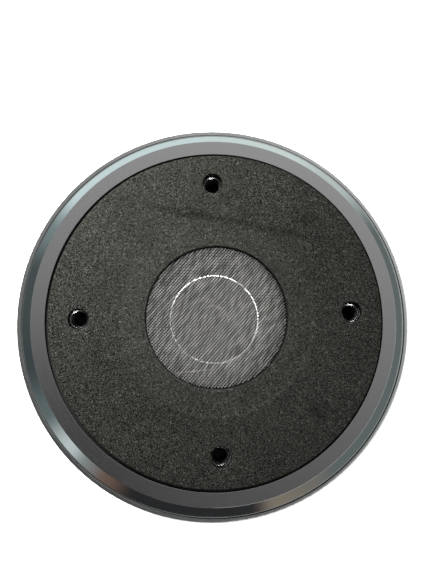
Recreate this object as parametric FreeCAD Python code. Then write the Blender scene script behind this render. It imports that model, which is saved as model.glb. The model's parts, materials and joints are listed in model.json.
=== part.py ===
"""Bolt-on compression driver for a car audio horn tweeter, built as the pieces that it comes apart into.

Millimetres. +Z runs along the throat, out towards the horn. The origin is the centre of the bolt
circle, on the steel seat that the front gasket lies on. The driver rests on the back of its rear
cover, and its wire terminals point along -Y.

From front to back: foam gasket and wire screen, bevelled steel front plate with the pole piece
pressed into it, phase plug inside the pole, ferrite ring, steel top plate, aluminium magnet cover
round all three, diaphragm assembly on the top plate, and a finned rear cover that carries the two
push terminals.
"""
import FreeCAD, Part
import math
import os

from FreeCAD import Vector

# ---- driving dimensions --------------------------------------------------------------------------
CLEARANCE = 0.02  # between faces that are pressed or glued together
BOLT_CIRCLE_R = 50.8
BOLT_HOLE_R = 3.0  # M6, drawn at its major diameter
BOLT_HOLE_CHAMFER = 0.45
EXIT_R = 25.4  # throat radius where the horn starts

# front gasket and screen
GASKET_R = 62.0
GASKET_THICKNESS = 3.0
GASKET_BORE_R = 26.2
GASKET_BOLT_R = 3.6
SCREEN_R = 27.0
SCREEN_THICKNESS = 0.4
SCREEN_SEAT_DEPTH = 0.5

# front plate
RIM_HEIGHT = 1.0  # the rim stands this far above the gasket's seat
RECESS_R = 63.2
RIM_R = 68.4
PLATE_R = 73.8
BEVEL_DROP = 6.0
PLATE_THICKNESS = 11.0  # below the seat
SPIGOT_R = 33.0
SPIGOT_TOP = -4.0

# magnet circuit
MAGNET_R = 72.0
MAGNET_BORE_R = 43.0
MAGNET_HEIGHT = 20.0
TOP_PLATE_THICKNESS = 10.0
POLE_R = 36.58
CAP_R = 37.0
CAP_LENGTH = 13.0
CAP_LIP = 0.4
GAP_R = 38.5
COVER_WALL = 1.7
COVER_R = 75.8
COVER_FRONT = -5.4
COVER_LIP_THICKNESS = 1.2
COVER_LIP_R = 65.0

PLATE_BACK = -PLATE_THICKNESS
MAGNET_BACK = PLATE_BACK - MAGNET_HEIGHT
TOP_BACK = MAGNET_BACK - TOP_PLATE_THICKNESS  # where the diaphragm is mounted

# throat and phase plug
PLUG_FRONT = -19.0
PLUG_EXIT_R = 18.4
COLLAR_FRONT = -17.0  # the plug's collar stands this far up in the throat
COLLAR_R = 17.7
PLUG_SEAT_R = 34.3
DOME_RIM_R = 37.35
DOME_HEIGHT = 11.0
DOME_THICKNESS = 0.3
PLUG_GAP = 0.8  # between the plug and the dome at rest
VANE_WIDTH = 1.6
VANE_COUNT = 4

DOME_RIM_Z = TOP_BACK - 0.9
DOME_SPHERE_R = (DOME_RIM_R**2 + DOME_HEIGHT**2) / (2 * DOME_HEIGHT)
DOME_CENTRE_Z = DOME_RIM_Z - DOME_HEIGHT + DOME_SPHERE_R
PLUG_SPHERE_R = DOME_SPHERE_R - PLUG_GAP

# radii of the plug's rings: (inner rear, outer rear, inner front, outer front)
BULLET = (0.0, 8.0, 0.0, 3.0)
INNER_RING = (9.2, 19.2, 6.2, 8.4)
OUTER_RING = (20.4, 29.4, 11.8, 13.8)
PLUG_BODY = (30.6, PLUG_SEAT_R, 17.9, PLUG_EXIT_R)
BULLET_TIP = 6.0

# diaphragm assembly
FORMER_R = 37.4
FORMER_WALL = 0.2
FORMER_LENGTH = 9.0
COIL_WALL = 0.5
COIL_HEIGHT = 4.0
FLANGE_R = 38.15
FLANGE_THICKNESS = 0.3
FRAME_R = 50.0
FRAME_BORE_R = 43.4
SURROUND_THICKNESS = 0.25
SURROUND_INNER_R = 37.5
SURROUND_OUTER_R = 49.5
ROLL_START_R = 38.8
ROLL_END_R = 43.0
ROLL_RISE = 1.2
CLAMP_THICKNESS = 2.1
CLAMP_BORE_R = 43.9
RING_SCREW_CIRCLE_R = 47.0
RING_SCREW_R = 1.5
RING_SCREW_COUNT = 4
RING_SCREW_HEAD_R = 2.75
RING_SCREW_HEAD = 3.0
RING_SCREW_FLATS = 2.5
RING_SCREW_DEPTH = 5.0
PIN_R = 1.25
PIN_ANGLES = (0.0, 180.0)
PIN_DEPTH = 3.5
PIN_RISE = 1.2  # the pins stand this far out of the clamp ring
STRIP_THICKNESS = 0.2
STRIP_HALF_ANGLE = 1.6  # degrees
TAB_THICKNESS = 0.5
TAB_SIZE = (4.0, 5.0)

FLANGE_FRONT = DOME_RIM_Z - 0.05
SURROUND_FRONT = FLANGE_FRONT - FLANGE_THICKNESS
CLAMP_FRONT = SURROUND_FRONT - SURROUND_THICKNESS
CLAMP_BACK = CLAMP_FRONT - CLAMP_THICKNESS

# rear cover
COVER_HEIGHT = 30.0
FLANGE_OUTER_R = 64.0
FLANGE_HEIGHT = 5.0
DRUM_R = 54.5
CHAMBER_R = 51.0
CHAMBER_FLOOR = 4.5  # thickness of the rear wall
FIN_R = 62.5
FIN_WIDTH = 2.2
FIN_PITCH = 7.5  # degrees
FIN_BACK_GAP = 3.0
FOOT_R = 40.0
FOOT_RISE = 1.5
BADGE_R = 24.0
BADGE_THICKNESS = 1.0
COVER_SCREW_CIRCLE_R = 59.2
COVER_SCREW_COUNT = 6
COVER_SCREW_R = 2.0
COVER_SCREW_HEAD_R = 3.5
COVER_SCREW_HEAD = 4.0
COVER_SCREW_FLATS = 3.0
COVER_SCREW_SEAT = 1.2  # the heads are let into the flange
COVER_SCREW_DEPTH = 7.0  # thread in the top plate
SEAL_IN = 52.4
SEAL_OUT = 54.4
SEAL_HEIGHT = 1.6
PAD_R = 50.4
PAD_THICKNESS = 5.6
COVER_BACK = TOP_BACK - COVER_HEIGHT

# terminals
TERMINAL_X = 11.0
TERMINAL_Z = TOP_BACK - 16.0
PANEL_Y = -62.5
PANEL_HALF_WIDTH = 21.0
PANEL_FRONT = TOP_BACK - 6.0
PANEL_BACK = COVER_BACK + 3.0
POCKET_Y = -52.0
POCKET_SIZE = (34.0, 10.0, 17.0)
BASE_R = 7.5
BASE_HEIGHT = 5.0
BASE_WELL_R = 5.9
BASE_WELL_FLOOR = 1.0
POST_R = 2.0
POST_INNER = 15.7  # how far the post runs in behind the panel
POST_OUTER = 8.0
WIRE_HOLE_R = 1.1
WIRE_HOLE_U = 6.4
BUTTON_R = 5.5
BUTTON_START = 4.2
BUTTON_LENGTH = 8.0
BUTTON_TRAVEL = 3.0
BUTTON_BORE_R = 2.15
BUTTON_BORE_END = 11.3
SPRING_POCKET_R = 4.2
SPRING_POCKET_END = 7.2
SPRING_R = 3.2
SPRING_WIRE_R = 0.35
SPRING_PITCH = 1.35
NUT_FLATS = 7.0
NUT_THICKNESS = 3.0
LEAD_R = 0.6

AXIS = Vector(0, 0, 1)
ORIGIN = Vector(0, 0, 0)


# ---- shape helpers -------------------------------------------------------------------------------
def point(radius, z):
    """A point of a turned outline."""
    return Vector(radius, 0, z)


def turned(outline, angle=360.0, start=0.0):
    """Turns a closed outline about the Z axis. It mixes points with arcs, as (middle, end) pairs."""
    edges = []
    here = outline[0]
    for item in outline[1:] + [outline[0]]:
        if isinstance(item, tuple):
            middle, there = item
            edges.append(Part.Arc(here, middle, there).toShape())
        else:
            there = item
            if here.isEqual(there, 1e-7):
                continue
            edges.append(Part.LineSegment(here, there).toShape())
        here = there
    solid = Part.Face(Part.Wire(edges)).revolve(ORIGIN, AXIS, angle)
    solid.rotate(ORIGIN, AXIS, start)
    return solid


def cylinder(radius, z_low, z_high, x=0.0, y=0.0):
    return Part.makeCylinder(radius, z_high - z_low, Vector(x, y, z_low))


def ring(inner, outer, z_low, z_high):
    return cylinder(outer, z_low, z_high).cut(cylinder(inner, z_low - 1, z_high + 1))


def round_about(count, start=0.0):
    """Evenly spaced angles in degrees."""
    return [start + 360.0 * i / count for i in range(count)]


def ring_screw_angles():
    return round_about(RING_SCREW_COUNT, 45.0)


def cover_screw_angles():
    return round_about(COVER_SCREW_COUNT)


def polar(radius, angle):
    """X and Y at an angle in degrees."""
    return radius * math.cos(math.radians(angle)), radius * math.sin(math.radians(angle))


def cylinders(radius, z_low, z_high, circle_r, angles):
    """Equal cylinders along Z on a circle."""
    return [cylinder(radius, z_low, z_high, *polar(circle_r, a)) for a in angles]


def hexagon(flats, z_low, z_high, x=0.0, y=0.0):
    """A hexagonal prism along Z."""
    corner_r = flats / math.sqrt(3)
    corners = [Vector(*polar(corner_r, a), z_low) + Vector(x, y, 0) for a in round_about(6)]
    return Part.Face(Part.makePolygon(corners + corners[:1])).extrude(Vector(0, 0, z_high - z_low))


def cone(r_low, r_high, z_low, z_high, x=0.0, y=0.0):
    return Part.makeCone(r_low, r_high, z_high - z_low, Vector(x, y, z_low))


def fillet_circles(solid, radius, places):
    """Rounds the circular edges about Z at the given (radius, z) places."""
    chosen = []
    for edge in solid.Edges:
        curve = edge.Curve
        if not isinstance(curve, Part.Circle) or math.hypot(curve.Center.x, curve.Center.y) > 1e-6:
            continue
        for r, z in places:
            if abs(curve.Radius - r) < 1e-4 and abs(curve.Center.z - z) < 1e-4:
                chosen.append(edge)
    return solid.makeFillet(radius, chosen)


def sphere_z(radius, sphere_r):
    """Z of a sphere about the dome's centre, on its rear side, at a radius from the axis."""
    return DOME_CENTRE_Z - math.sqrt(sphere_r**2 - radius**2)


def sphere_arc(r_start, r_end, sphere_r):
    """The (middle, end) of an arc of that sphere's outline."""
    r_middle = (r_start + r_end) / 2
    return point(r_middle, sphere_z(r_middle, sphere_r)), point(r_end, sphere_z(r_end, sphere_r))


# ---- front face ----------------------------------------------------------------------------------
def front_gasket():
    """Foam sheet that seals the horn's flange, with a hole at each bolt and one for the throat."""
    sheet = ring(GASKET_BORE_R, GASKET_R, 0.0, GASKET_THICKNESS)
    return sheet.cut(cylinders(GASKET_BOLT_R, -1, GASKET_THICKNESS + 1, BOLT_CIRCLE_R, round_about(4)))


def throat_screen():
    """Woven wire disc, held at its edge by the gasket. A plain disc stands for the weave."""
    floor = -SCREEN_SEAT_DEPTH
    return cylinder(SCREEN_R, floor, floor + SCREEN_THICKNESS)


def front_plate():
    """Bevelled steel plate: gasket recess, screen seat, tapped holes, and a bore for the pole piece."""
    plate = turned([
        point(EXIT_R, -SCREEN_SEAT_DEPTH),
        point(SCREEN_R + 0.3, -SCREEN_SEAT_DEPTH),
        point(SCREEN_R + 0.3, 0),
        point(RECESS_R, 0),
        point(RECESS_R, RIM_HEIGHT),
        point(RIM_R, RIM_HEIGHT),
        point(PLATE_R, RIM_HEIGHT - BEVEL_DROP),
        point(PLATE_R, PLATE_BACK),
        point(SPIGOT_R, PLATE_BACK),
        point(SPIGOT_R, SPIGOT_TOP),
        point(EXIT_R, SPIGOT_TOP),
    ])
    edge_round = 0.18
    plate = fillet_circles(plate, edge_round, [
        (RECESS_R, RIM_HEIGHT),
        (RIM_R, RIM_HEIGHT),
        (PLATE_R, RIM_HEIGHT - BEVEL_DROP),
    ])
    cuts = []
    for angle in round_about(4):
        x, y = polar(BOLT_CIRCLE_R, angle)
        cuts.append(cylinder(BOLT_HOLE_R, PLATE_BACK - 1, 1, x, y))
        wide = BOLT_HOLE_R + BOLT_HOLE_CHAMFER
        cuts.append(cone(BOLT_HOLE_R, wide, -BOLT_HOLE_CHAMFER, 0, x, y))
    return plate.cut(cuts)


def pole_piece():
    """Steel tube from the front plate to the gap. It is the throat in front, the plug's seat behind."""
    return turned([
        point(EXIT_R - 0.2, SPIGOT_TOP - CLEARANCE),
        point(SPIGOT_R - CLEARANCE, SPIGOT_TOP - CLEARANCE),
        point(SPIGOT_R - CLEARANCE, PLATE_BACK - CLEARANCE),
        point(POLE_R, PLATE_BACK - CLEARANCE),
        point(POLE_R, TOP_BACK),
        point(PLUG_SEAT_R + CLEARANCE, TOP_BACK),
        point(PLUG_EXIT_R + CLEARANCE, PLUG_FRONT),
        point(PLUG_EXIT_R + CLEARANCE, COLLAR_FRONT - 0.3),
    ])


def copper_cap():
    """Thin copper sleeve over the pole's tip, which keeps the coil's inductance down."""
    return turned([
        point(POLE_R + CLEARANCE, TOP_BACK + CAP_LENGTH),
        point(CAP_R, TOP_BACK + CAP_LENGTH),
        point(CAP_R, TOP_BACK - CAP_LIP),
        point(PLUG_SEAT_R + 4 * CLEARANCE, TOP_BACK - CAP_LIP),
        point(PLUG_SEAT_R + 4 * CLEARANCE, TOP_BACK - CLEARANCE),
        point(POLE_R + CLEARANCE, TOP_BACK - CLEARANCE),
    ])


# ---- phase plug ----------------------------------------------------------------------------------
def plug_ring(radii):
    """One ring of the plug: a spherical back that follows the dome, and straight walls to the throat."""
    inner_rear, outer_rear, inner_front, outer_front = radii
    return turned([
        point(inner_rear, sphere_z(inner_rear, PLUG_SPHERE_R)),
        sphere_arc(inner_rear, outer_rear, PLUG_SPHERE_R),
        point(outer_front, PLUG_FRONT),
        point(inner_front, PLUG_FRONT),
    ])


def plug_vanes(inside, outside):
    """Radial vanes that hold one ring inside the next. They bite a little into the inner ring."""
    bite = 0.3
    recess = 1.5  # the vanes stop short of the slit's two mouths
    slit = turned([
        point(inside[1] - bite, sphere_z(inside[1], PLUG_SPHERE_R)),
        point(outside[0] - CLEARANCE, sphere_z(outside[0], PLUG_SPHERE_R)),
        point(outside[2] - CLEARANCE, PLUG_FRONT),
        point(inside[3] - bite, PLUG_FRONT),
    ])
    low = sphere_z(outside[0], PLUG_SPHERE_R) + recess
    height = PLUG_FRONT - recess - low
    vanes = []
    for angle in round_about(VANE_COUNT, 45.0):
        blade = Part.makeBox(PLUG_SEAT_R, VANE_WIDTH, height, Vector(0, -VANE_WIDTH / 2, low))
        blade.rotate(ORIGIN, AXIS, angle)
        vanes.append(slit.common(blade))
    return vanes


def phase_plug_bullet():
    """Centre of the plug, with its point in the throat and the vanes that carry it."""
    core = plug_ring(BULLET)
    tip = cone(BULLET[3], 0.0, PLUG_FRONT, PLUG_FRONT + BULLET_TIP)
    return core.fuse([tip] + plug_vanes(BULLET, INNER_RING)).removeSplitter()


def phase_plug_inner_ring():
    return plug_ring(INNER_RING).fuse(plug_vanes(INNER_RING, OUTER_RING)).removeSplitter()


def phase_plug_outer_ring():
    return plug_ring(OUTER_RING).fuse(plug_vanes(OUTER_RING, PLUG_BODY)).removeSplitter()


def phase_plug_body():
    """Outer cone of the plug, seated in the pole piece, with a thin collar that shows in the throat."""
    inner_rear, outer_rear, inner_front, outer_front = PLUG_BODY
    body = turned([
        point(inner_rear, sphere_z(inner_rear, PLUG_SPHERE_R)),
        sphere_arc(inner_rear, outer_rear, PLUG_SPHERE_R),
        point(outer_rear, TOP_BACK),
        point(outer_front, PLUG_FRONT),
        point(outer_front, COLLAR_FRONT),
        point(COLLAR_R, COLLAR_FRONT),
        point(COLLAR_R, PLUG_FRONT),
        point(inner_front, PLUG_FRONT),
    ])
    return fillet_circles(body, 0.2, [(outer_front, COLLAR_FRONT), (COLLAR_R, COLLAR_FRONT)])


# ---- magnet circuit ------------------------------------------------------------------------------
def magnet_ring():
    """Ferrite ring with ground faces and rough outer edges."""
    blank = ring(MAGNET_BORE_R, MAGNET_R, MAGNET_BACK, PLATE_BACK)
    return fillet_circles(blank, 1.0, [(MAGNET_R, MAGNET_BACK), (MAGNET_R, PLATE_BACK)])


def top_plate():
    """Steel plate round the gap. It carries the diaphragm assembly and the rear cover."""
    plate = ring(GAP_R, PLATE_R, TOP_BACK, MAGNET_BACK)
    holes = [
        (RING_SCREW_R, RING_SCREW_DEPTH, RING_SCREW_CIRCLE_R, ring_screw_angles()),
        (PIN_R, PIN_DEPTH, RING_SCREW_CIRCLE_R, PIN_ANGLES),
        (COVER_SCREW_R, COVER_SCREW_DEPTH, COVER_SCREW_CIRCLE_R, cover_screw_angles()),
    ]
    for radius, depth, circle_r, angles in holes:
        bottom = TOP_BACK + depth + 0.5
        plate = plate.cut(cylinders(radius + CLEARANCE, TOP_BACK - 1, bottom, circle_r, angles))
    return plate


def magnet_cover():
    """Turned aluminium can round the magnet and both plates, with an inward lip behind."""
    inner_r = COVER_R - COVER_WALL
    corner = 2.0
    groove_depth, groove_width = 0.6, 1.2
    lip_back = TOP_BACK - COVER_LIP_THICKNESS
    can = turned([
        point(inner_r, COVER_FRONT),
        point(COVER_R, COVER_FRONT),
        point(COVER_R, lip_back),
        point(COVER_LIP_R, lip_back),
        point(COVER_LIP_R, TOP_BACK),
        point(inner_r, TOP_BACK),
    ])
    can = fillet_circles(can, corner, [(COVER_R, lip_back)])
    can = fillet_circles(can, 0.6, [(COVER_R, COVER_FRONT)])
    can = fillet_circles(can, 0.2, [(inner_r, COVER_FRONT), (COVER_LIP_R, lip_back)])
    for z in (PLATE_BACK - 1.0, MAGNET_BACK + 1.0):
        groove = ring(COVER_R - groove_depth, COVER_R + 1, z - groove_width / 2, z + groove_width / 2)
        can = can.cut(groove)
    return can


# ---- diaphragm assembly --------------------------------------------------------------------------
def diaphragm_dome():
    """Titanium dome with a narrow flange, which the coil former hangs from."""
    outer_sphere_r = DOME_SPHERE_R + DOME_THICKNESS
    rear_rim_z = FLANGE_FRONT - FLANGE_THICKNESS
    rear_rim_r = math.sqrt(outer_sphere_r**2 - (DOME_CENTRE_Z - rear_rim_z) ** 2)
    front_rim_r = math.sqrt(DOME_SPHERE_R**2 - (DOME_CENTRE_Z - FLANGE_FRONT) ** 2)
    return turned([
        point(0, sphere_z(0, DOME_SPHERE_R)),
        sphere_arc(0, front_rim_r, DOME_SPHERE_R),
        point(FLANGE_R, FLANGE_FRONT),
        point(FLANGE_R, rear_rim_z),
        point(rear_rim_r, rear_rim_z),
        sphere_arc(rear_rim_r, 0, outer_sphere_r),
    ])


def coil_former():
    return ring(FORMER_R, FORMER_R + FORMER_WALL, FLANGE_FRONT, FLANGE_FRONT + FORMER_LENGTH)


def voice_coil():
    """Edge-wound aluminium wire, drawn as one tube centred in the gap."""
    middle = (MAGNET_BACK + TOP_BACK) / 2
    inner = FORMER_R + FORMER_WALL
    return ring(inner, inner + COIL_WALL, middle - COIL_HEIGHT / 2, middle + COIL_HEIGHT / 2)


def roll_outline(offset, thickness, inner_r, outer_r):
    """Outline of a sheet that follows the surround's half roll, offset rearwards from it."""
    front = SURROUND_FRONT - offset
    back = front - thickness
    middle_r = (ROLL_START_R + ROLL_END_R) / 2
    return [
        point(inner_r, front),
        point(ROLL_START_R, front),
        (point(middle_r, front - ROLL_RISE), point(ROLL_END_R, front)),
        point(outer_r, front),
        point(outer_r, back),
        point(ROLL_END_R, back),
        (point(middle_r, back - ROLL_RISE), point(ROLL_START_R, back)),
        point(inner_r, back),
    ]


def diaphragm_surround():
    """Polyimide half roll between the dome's flange and the clamped ring."""
    sheet = turned(roll_outline(0.0, SURROUND_THICKNESS, SURROUND_INNER_R, SURROUND_OUTER_R))
    return sheet.cut(ring_holes(SURROUND_FRONT - 1, SURROUND_FRONT + 1))


def ring_holes(z_low, z_high):
    """The screw and pin holes through the diaphragm's clamped rings."""
    screw_hole_r = RING_SCREW_R + 0.15
    holes = cylinders(screw_hole_r, z_low, z_high, RING_SCREW_CIRCLE_R, ring_screw_angles())
    return holes + cylinders(PIN_R + CLEARANCE, z_low, z_high, RING_SCREW_CIRCLE_R, PIN_ANGLES)


def diaphragm_frame_ring():
    """Moulded ring that sets the diaphragm's height above the top plate."""
    spacer = ring(FRAME_BORE_R, FRAME_R, SURROUND_FRONT, TOP_BACK)
    return spacer.cut(ring_holes(SURROUND_FRONT - 1, TOP_BACK + 1))


def diaphragm_clamp_ring():
    """Moulded ring that clamps the surround and carries the two contact tabs."""
    clamp = ring(CLAMP_BORE_R, FRAME_R, CLAMP_BACK, CLAMP_FRONT)
    clamp = fillet_circles(clamp, 0.5, [(FRAME_R, CLAMP_BACK)])
    return clamp.cut(ring_holes(CLAMP_BACK - 1, CLAMP_FRONT + 1))


def cap_screw(shank_r, head_r, head_height, z_head, length, flats):
    """A socket cap screw along Z with its head behind z_head and its shank in front of it."""
    head = cylinder(head_r, z_head - head_height, z_head)
    head = fillet_circles(head, 0.35, [(head_r, z_head - head_height)])
    socket = hexagon(flats, z_head - head_height - 1, z_head - head_height * 0.45)
    tip = z_head + length
    shank = cylinder(shank_r, z_head, tip)
    shank = shank.makeChamfer(0.3, [e for e in shank.Edges if abs(e.BoundBox.ZMin - tip) < 1e-6])
    return head.fuse(shank).removeSplitter().cut(socket)


def on_circle(piece, circle_r, angles):
    """Copies of a piece along Z, moved out onto a circle, as one compound of separate solids."""
    copies = []
    for angle in angles:
        copy = piece.copy()
        copy.translate(Vector(*polar(circle_r, angle), 0))
        copies.append(copy)
    return Part.makeCompound(copies)


def diaphragm_screws():
    reach = TOP_BACK + RING_SCREW_DEPTH - CLAMP_BACK
    screw = cap_screw(RING_SCREW_R, RING_SCREW_HEAD_R, RING_SCREW_HEAD, CLAMP_BACK, reach, RING_SCREW_FLATS)
    return on_circle(screw, RING_SCREW_CIRCLE_R, ring_screw_angles())


def alignment_pins():
    """Two dowels that centre the coil in the gap."""
    pins = cylinders(PIN_R, CLAMP_BACK - PIN_RISE, TOP_BACK + PIN_DEPTH, RING_SCREW_CIRCLE_R, PIN_ANGLES)
    return Part.makeCompound(pins)


def tab_angles():
    """Where the two contacts stand, as angles in degrees: in line with the terminals."""
    half = math.degrees(math.asin(TERMINAL_X / RING_SCREW_CIRCLE_R))
    return -90 - half, -90 + half


def lead_out_strips():
    """Copper strips from the coil, over the roll and up onto the clamp ring."""
    offset = SURROUND_THICKNESS + CLEARANCE
    over = roll_outline(offset, STRIP_THICKNESS, SURROUND_INNER_R + 0.2, CLAMP_BORE_R - CLEARANCE)
    top_front = CLAMP_BACK - CLEARANCE
    step_r = CLAMP_BORE_R - CLEARANCE
    outline = over[:3] + [
        point(step_r, over[3].z),
        point(step_r, top_front),
        point(step_r + 3.0, top_front),
        point(step_r + 3.0, top_front - STRIP_THICKNESS),
        point(step_r - STRIP_THICKNESS, top_front - STRIP_THICKNESS),
        point(step_r - STRIP_THICKNESS, over[4].z),
    ] + over[5:]
    return Part.makeCompound([
        turned(outline, 2 * STRIP_HALF_ANGLE, angle - STRIP_HALF_ANGLE) for angle in tab_angles()
    ])


def contact_tabs():
    """Brass tabs on the clamp ring. Each holds a strip down and takes a lead."""
    width, length = TAB_SIZE
    back = CLAMP_BACK - STRIP_THICKNESS - 2 * CLEARANCE
    tabs = []
    for angle in tab_angles():
        tab = Part.makeBox(length, width, TAB_THICKNESS, Vector(44.5, -width / 2, back - TAB_THICKNESS))
        tab.rotate(ORIGIN, AXIS, angle)
        tabs.append(tab)
    return Part.makeCompound(tabs)


# ---- rear cover ----------------------------------------------------------------------------------
def fin_angles():
    """Where the fins stand: all round, but clear of the screws and of the terminal panel."""
    clear_of_screw, clear_of_panel = 6.5, 25.0
    step = 360.0 / COVER_SCREW_COUNT
    angles = []
    for angle in round_about(round(360 / FIN_PITCH)):
        from_screw = abs((angle + step / 2) % step - step / 2)
        from_panel = abs(angle - 270.0)
        if from_screw > clear_of_screw and from_panel > clear_of_panel:
            angles.append(angle)
    return angles


def cooling_fin(angle):
    """A radial fin whose rear outer corner slopes away."""
    z_front, z_back = TOP_BACK - FLANGE_HEIGHT + 0.5, COVER_BACK + FIN_BACK_GAP
    slope = 3.5
    corners = [
        Vector(DRUM_R - 1, 0, z_front),
        Vector(FIN_R, 0, z_front),
        Vector(FIN_R, 0, z_back + slope),
        Vector(FIN_R - slope, 0, z_back),
        Vector(DRUM_R - 1, 0, z_back),
    ]
    fin = Part.Face(Part.makePolygon(corners + corners[:1])).extrude(Vector(0, FIN_WIDTH, 0))
    fin.translate(Vector(0, -FIN_WIDTH / 2, 0))
    fin.rotate(ORIGIN, AXIS, angle)
    return fin


def rear_cover():
    """Cast cover: screwed flange, finned drum, terminal panel, and a foot ring round a shallow recess."""
    flange_back = TOP_BACK - FLANGE_HEIGHT
    drum = turned([
        point(0, COVER_BACK + FOOT_RISE),
        point(FOOT_R, COVER_BACK + FOOT_RISE),
        point(FOOT_R + 1, COVER_BACK),
        point(DRUM_R - 2, COVER_BACK),
        point(DRUM_R, COVER_BACK + 2),
        point(DRUM_R, flange_back),
        point(FLANGE_OUTER_R - 0.8, flange_back),
        point(FLANGE_OUTER_R, flange_back + 0.8),
        point(FLANGE_OUTER_R, TOP_BACK),
        point(0, TOP_BACK),
    ])
    cover = drum.fuse([terminal_panel()] + [cooling_fin(a) for a in fin_angles()]).removeSplitter()
    groove_gap = 0.1
    seat = flange_back + COVER_SCREW_SEAT
    circle_r, angles = COVER_SCREW_CIRCLE_R, cover_screw_angles()
    cuts = [
        cylinder(CHAMBER_R, COVER_BACK + CHAMBER_FLOOR, TOP_BACK + 1),
        ring(SEAL_IN - groove_gap, SEAL_OUT + groove_gap, TOP_BACK - SEAL_HEIGHT, TOP_BACK + 1),
        cylinder(BADGE_R + 0.15, COVER_BACK - 1, badge_front()),
        Part.makeBox(*POCKET_SIZE, Vector(-POCKET_SIZE[0] / 2, POCKET_Y, TERMINAL_Z - POCKET_SIZE[2] / 2)),
    ]
    cuts += cylinders(COVER_SCREW_R + 0.25, flange_back - 1, TOP_BACK + 1, circle_r, angles)
    cuts += cylinders(COVER_SCREW_HEAD_R + 0.35, COVER_BACK, seat, circle_r, angles)
    post_hole = cylinder(POST_R + CLEARANCE, -POST_INNER, 1)
    cuts += [along_terminal(post_hole, x) for x in (-TERMINAL_X, TERMINAL_X)]
    return cover.cut(cuts)


def terminal_panel():
    """Flat block on the drum's side, with a rounded face for the terminals."""
    width, height = 2 * PANEL_HALF_WIDTH, PANEL_FRONT - PANEL_BACK
    depth = 20.0
    panel = Part.makeBox(width, depth, height, Vector(-PANEL_HALF_WIDTH, PANEL_Y, PANEL_BACK))
    return panel.makeFillet(1.5, [e for e in panel.Edges if e.BoundBox.YMax < PANEL_Y + 1e-6])


def cover_seal():
    """Rubber cord in the cover's groove."""
    return ring(SEAL_IN, SEAL_OUT, TOP_BACK - SEAL_HEIGHT + CLEARANCE, TOP_BACK)


def damping_pad():
    """Felt disc glued to the cover's floor, behind the dome."""
    floor = COVER_BACK + CHAMBER_FLOOR
    return cylinder(PAD_R, floor, floor + PAD_THICKNESS)


def cover_screws():
    seat = TOP_BACK - FLANGE_HEIGHT + COVER_SCREW_SEAT
    reach = TOP_BACK - seat + COVER_SCREW_DEPTH
    screw = cap_screw(COVER_SCREW_R, COVER_SCREW_HEAD_R, COVER_SCREW_HEAD, seat, reach, COVER_SCREW_FLATS)
    return on_circle(screw, COVER_SCREW_CIRCLE_R, cover_screw_angles())


def rear_badge():
    """Blank aluminium disc let into the cover's recess."""
    back = badge_front() - BADGE_THICKNESS
    disc = cylinder(BADGE_R, back, badge_front() - CLEARANCE)
    return fillet_circles(disc, 0.3, [(BADGE_R, back)])


def badge_front():
    """Z of the seat that the badge is glued to."""
    return COVER_BACK + FOOT_RISE + BADGE_THICKNESS - 0.3


# ---- terminals -----------------------------------------------------------------------------------
def along_terminal(piece, x):
    """Turns a piece built along +Z from the panel's face so that it points along -Y, at a terminal."""
    moved = piece.copy()
    moved.rotate(ORIGIN, Vector(1, 0, 0), 90)
    moved.translate(Vector(x, PANEL_Y, TERMINAL_Z))
    return moved


def cross_hole(u):
    """The wire's hole across a terminal, at a distance out from the panel."""
    return Part.makeCylinder(WIRE_HOLE_R, 2 * BUTTON_R + 2, Vector(0, -BUTTON_R - 1, u), Vector(0, 1, 0))


def terminal_base(x):
    """Insulating collar on the panel, with a well that the button sinks into."""
    collar = ring(POST_R + CLEARANCE, BASE_R, 0.0, BASE_HEIGHT)
    collar = collar.cut(cylinder(BASE_WELL_R, BASE_WELL_FLOOR, BASE_HEIGHT + 1))
    return along_terminal(fillet_circles(collar, 0.5, [(BASE_R, BASE_HEIGHT)]), x)


def terminal_post(x):
    """Plated post with the wire's hole across it."""
    post = cylinder(POST_R, -POST_INNER, POST_OUTER).cut(cross_hole(WIRE_HOLE_U))
    return along_terminal(fillet_circles(post, 0.4, [(POST_R, POST_OUTER)]), x)


def terminal_button(x):
    """Cap that slides on the post. Pushed in, its cross hole meets the post's and takes the wire."""
    end = BUTTON_START + BUTTON_LENGTH
    cap = fillet_circles(cylinder(BUTTON_R, BUTTON_START, end), 0.8, [(BUTTON_R, end)])
    dish = Part.makeSphere(14.0, Vector(0, 0, end + 13.4))
    grips = []
    for angle in round_about(12, 15.0):
        x_grip, y_grip = polar(BUTTON_R + 0.25, angle)
        grips.append(cylinder(0.6, BUTTON_START + 2.2, end - 1.2, x_grip, y_grip))
    cap = cap.cut([
        cylinder(BUTTON_BORE_R, 0, BUTTON_BORE_END),
        cylinder(SPRING_POCKET_R, 0, SPRING_POCKET_END),
        cross_hole(WIRE_HOLE_U + BUTTON_TRAVEL),
        dish,
    ] + grips)
    return along_terminal(cap, x)


def terminal_spring(x):
    """Coil spring between the base's well and the button's pocket."""
    low = BASE_WELL_FLOOR + SPRING_WIRE_R + CLEARANCE
    high = SPRING_POCKET_END - SPRING_WIRE_R - CLEARANCE
    helix = Part.makeHelix(SPRING_PITCH, high - low, SPRING_R)
    section = Part.Wire(Part.makeCircle(SPRING_WIRE_R, Vector(SPRING_R, 0, 0), Vector(0, 1, 0)))
    coil = Part.Wire(helix.Edges).makePipeShell([section], True, True)
    coil.translate(Vector(0, 0, low))
    return along_terminal(coil, x)


def terminal_nuts():
    """The nuts that hold the posts, inside the cover's pocket."""
    face = -(POCKET_Y - PANEL_Y)
    nut = hexagon(NUT_FLATS, face - NUT_THICKNESS, face - CLEARANCE).cut(
        cylinder(POST_R + CLEARANCE, face - NUT_THICKNESS - 1, face + 1)
    )
    return Part.makeCompound([along_terminal(nut, x) for x in (-TERMINAL_X, TERMINAL_X)])


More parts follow.
